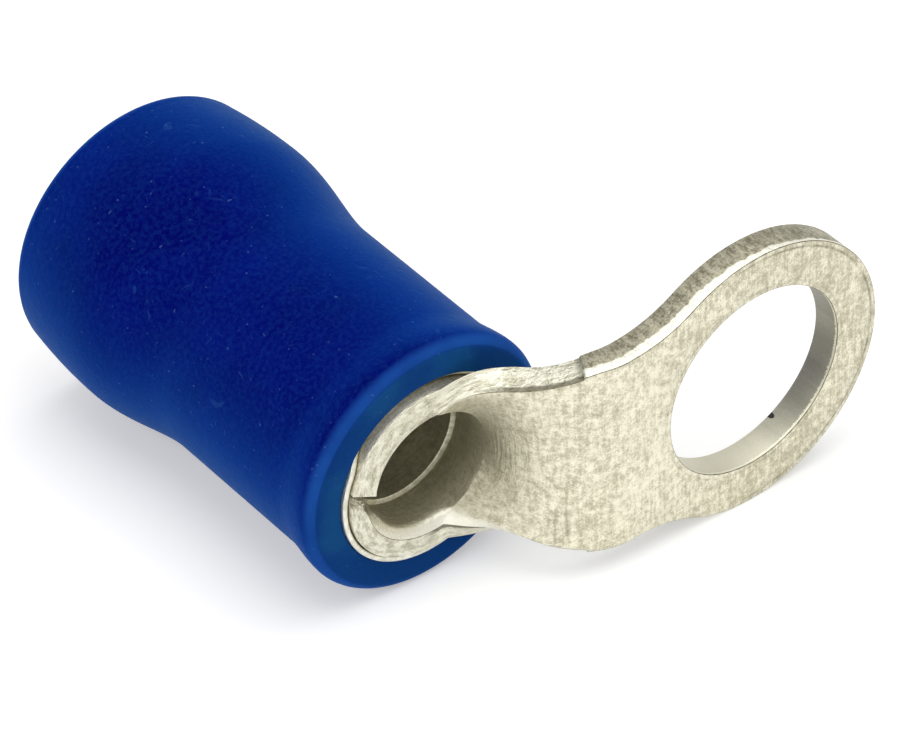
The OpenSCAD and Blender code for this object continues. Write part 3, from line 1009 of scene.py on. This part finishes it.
# %% [markdown]
# ## A pale floor in soft light
# The part lies on a white floor. The floor is a matt surface, so it still takes the part's
# soft shadow, and it gives off a little light of its own, but only to rays from the camera
# and to reflections, so that it looks clean white without throwing more light on the part.
# The world does the same: white where it is seen directly, and dimmer as a source of light.

# %% Floor
FLOOR_HALF, FLOOR_GLOW, AMBIENT = 3.0, 0.35, 0.55


def seen_directly(f):
    path = f.node("ShaderNodeLightPath").output.node
    camera, glossy, through = (Socket(f, path.outputs[f"Is {kind} Ray"])
                               for kind in ("Camera", "Glossy", "Transmission"))
    return (camera + glossy + through).below(1.0)


def floor_white():
    f = new_finish("floor_white")
    cloth = f.noise(f.place(), 300)
    pale = f.layered((0.8, 0.8, 0.8, 1), (cloth, (0.82, 0.82, 0.82, 1)))
    matt = f.node("ShaderNodeBsdfDiffuse", {}, {"Color": pale})
    glow = f.node("ShaderNodeEmission", {}, {"Strength": seen_directly(f) * FLOOR_GLOW})
    return f.show(f.node("ShaderNodeAddShader", {}, {0: matt, 1: glow}))


floor_mesh = bpy.data.meshes.new("floor")
bm = bmesh.new()
bmesh.ops.create_grid(bm, x_segments=1, y_segments=1, size=FLOOR_HALF)
bm.to_mesh(floor_mesh)
bm.free()
floor_mesh.materials.append(floor_white())
floor = bpy.data.objects.new("floor", floor_mesh)
bpy.context.scene.collection.objects.link(floor)
floor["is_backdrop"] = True
print("floor's side, m:", FLOOR_HALF * 2)

# %% World
world = bpy.data.worlds.new("studio")
bpy.context.scene.world = world
w = Finish(world)
sky = w.node("ShaderNodeBackground", {}, {"Strength": seen_directly(w) * (1 - AMBIENT) + AMBIENT})
w.show(sky, "ShaderNodeOutputWorld")

# %% [markdown]
# ## Two soft lamps
# A large square lamp nearly overhead gives the shape its shading, and a smaller one from
# the left keeps the mouth's shadows open. Both are placed by the same two angles as the
# camera, turned round the part's middle, so it is easy to see what stands where.

# %% Lamps
middle = (Vector(drawn_box[0]) + Vector(drawn_box[1])) / 2


def seen_from(azimuth, elevation):
    """The direction from the part to a lamp or the camera; azimuth 0 is the -Y side."""
    a, e = math.radians(azimuth), math.radians(elevation)
    return Vector((math.sin(a) * math.cos(e), -math.cos(a) * math.cos(e), math.sin(e)))


def lamp(name, azimuth, elevation, distance, size, power):
    back = seen_from(azimuth, elevation)
    light = bpy.data.lights.new(name, "AREA")
    light.size, light.energy = size, power
    made = bpy.data.objects.new(name, light)
    made.location = middle + back * distance
    made.rotation_euler = back.to_track_quat("Z", "Y").to_euler()
    bpy.context.scene.collection.objects.link(made)
    print(name, "at, mm:", [round(c / MM) for c in made.location])


lamp("overhead_box", 20, 80, distance=0.3, size=0.3, power=0.55)
lamp("front_fill", -80, 35, distance=0.3, size=0.2, power=0.25)

# %% [markdown]
# ## The camera
# A long lens from in front and above shows the mouth, the face of the ring and the whole
# sleeve at once, with little perspective. Its place is written as angles and a distance
# round the part's middle, which are easy to read and change.

# %% Camera
AZIMUTH, ELEVATION, LEAN = -38.383, 38.316, math.radians(0.547)
DISTANCE, AIM_RIGHT, AIM_UP = 109.27 * MM, 0.209 * MM, -1.358 * MM
back = seen_from(AZIMUTH, ELEVATION)
level_right = Vector((math.cos(math.radians(AZIMUTH)), math.sin(math.radians(AZIMUTH)), 0))
up = back.cross(level_right) * math.cos(LEAN) + level_right * math.sin(LEAN)
right = up.cross(back)
camera = bpy.data.objects.new("camera", bpy.data.cameras.new("camera"))
camera.data.lens, camera.data.sensor_width = 220, 36
camera.data.clip_start, camera.data.clip_end = 0.01, 10
aim = middle + right * AIM_RIGHT + up * AIM_UP
turned_to_part = Matrix((right, up, back)).transposed().to_4x4()
camera.matrix_world = Matrix.Translation(aim + back * DISTANCE) @ turned_to_part
bpy.context.scene.collection.objects.link(camera)
bpy.context.scene.camera = camera
bpy.context.scene.view_settings.view_transform = "Standard"
print("camera at, mm:", [round(c / MM, 2) for c in camera.matrix_world.translation])

# %% [markdown]
# ## The size of the dressed part
# The dressed part has to stay the size of the drawn one. Both boxes are printed, so that
# they can be compared.

# %% Print the dressed size
visual_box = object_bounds()
print("visual box, mm:", box_in_mm(visual_box))
